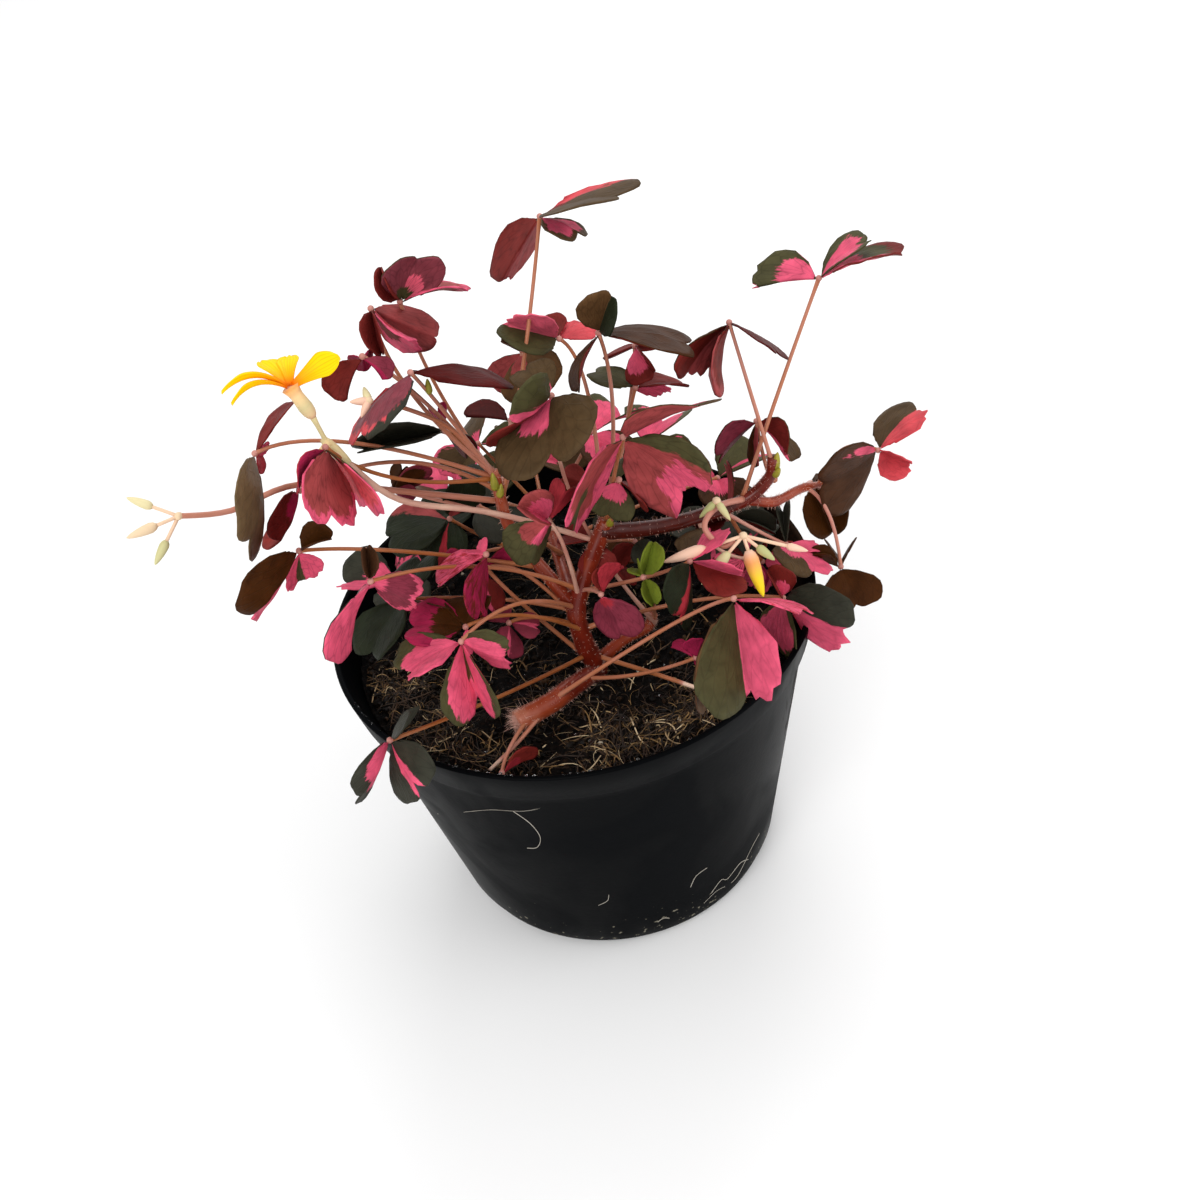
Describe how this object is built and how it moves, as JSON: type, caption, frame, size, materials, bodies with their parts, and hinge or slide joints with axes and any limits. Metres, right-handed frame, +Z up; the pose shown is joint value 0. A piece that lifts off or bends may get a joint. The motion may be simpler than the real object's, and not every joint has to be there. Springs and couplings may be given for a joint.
{
  "type": "potted purple shamrock plant",
  "caption": "Bushy shamrock with red stems, clover-like leaves in pink, bronze and maroon, a yellow flower and pale buds, growing in peat in a round black nursery pot.",
  "frame": {"origin": "centre of the pot's flat underside, where it stands", "axes": "+Z up along the pot's axis; +X to the plant's right seen from the side with the long bare front stem; -Y toward that side"},
  "size_m": [0.1856, 0.1323, 0.1812],
  "materials": {
    "pot_plastic": "satin",
    "peat": "matte",
    "stem": "satin",
    "leaf_olive": "satin",
    "leaf_pink": "satin",
    "leaf_rose": "satin",
    "leaf_plum": "satin",
    "leaf_brown": "satin",
    "leaf_green": "satin",
    "petal": "satin",
    "calyx": "satin",
    "bud": "satin"
  },
  "bodies": {
    "root": {"pot": "pot_plastic", "potting_mix": "peat", "stems": "stem", "flower_calyx": "calyx", "flower_petals": "petal", "left_bud_umbel": "bud", "front_bud_umbel": "bud", "rear_bud_umbel": "bud", "faded_calyx": "bud", "leaf_01": "leaf_rose", "leaf_02": "leaf_pink", "leaf_03": "leaf_olive", "leaf_04": "leaf_brown", "leaf_05": "leaf_olive", "leaf_06": "leaf_rose", "leaf_07": "leaf_pink", "leaf_08": "leaf_brown", "leaf_09": "leaf_plum", "leaf_10": "leaf_plum", "leaf_11": "leaf_brown", "leaf_12": "leaf_brown", "leaf_13": "leaf_pink", "leaf_14": "leaf_pink", "leaf_15": "leaf_pink", "leaf_16": "leaf_plum", "leaf_17": "leaf_pink", "leaf_18": "leaf_pink", "leaf_19": "leaf_olive", "leaf_20": "leaf_rose", "leaf_21": "leaf_olive", "leaf_22": "leaf_plum", "leaf_23": "leaf_brown", "leaf_24": "leaf_plum", "leaf_25": "leaf_rose", "leaf_26": "leaf_plum", "leaf_27": "leaf_rose", "leaf_28": "leaf_olive", "leaf_29": "leaf_plum", "leaf_30": "leaf_brown", "leaf_31": "leaf_olive", "leaf_32": "leaf_pink", "leaf_33": "leaf_pink", "leaf_34": "leaf_rose", "leaf_35": "leaf_olive", "leaf_36": "leaf_green", "leaf_37": "leaf_pink", "leaf_38": "leaf_olive", "leaf_39": "leaf_pink", "leaf_40": "leaf_olive", "leaf_41": "leaf_rose", "leaf_42": "leaf_plum", "leaf_43": "leaf_olive", "leaf_44": "leaf_pink", "leaf_45": "leaf_rose", "leaf_46": "leaf_olive", "leaf_47": "leaf_pink", "leaf_48": "leaf_rose", "leaf_49": "leaf_olive", "leaf_50": "leaf_brown"}
  },
  "joints": []
}
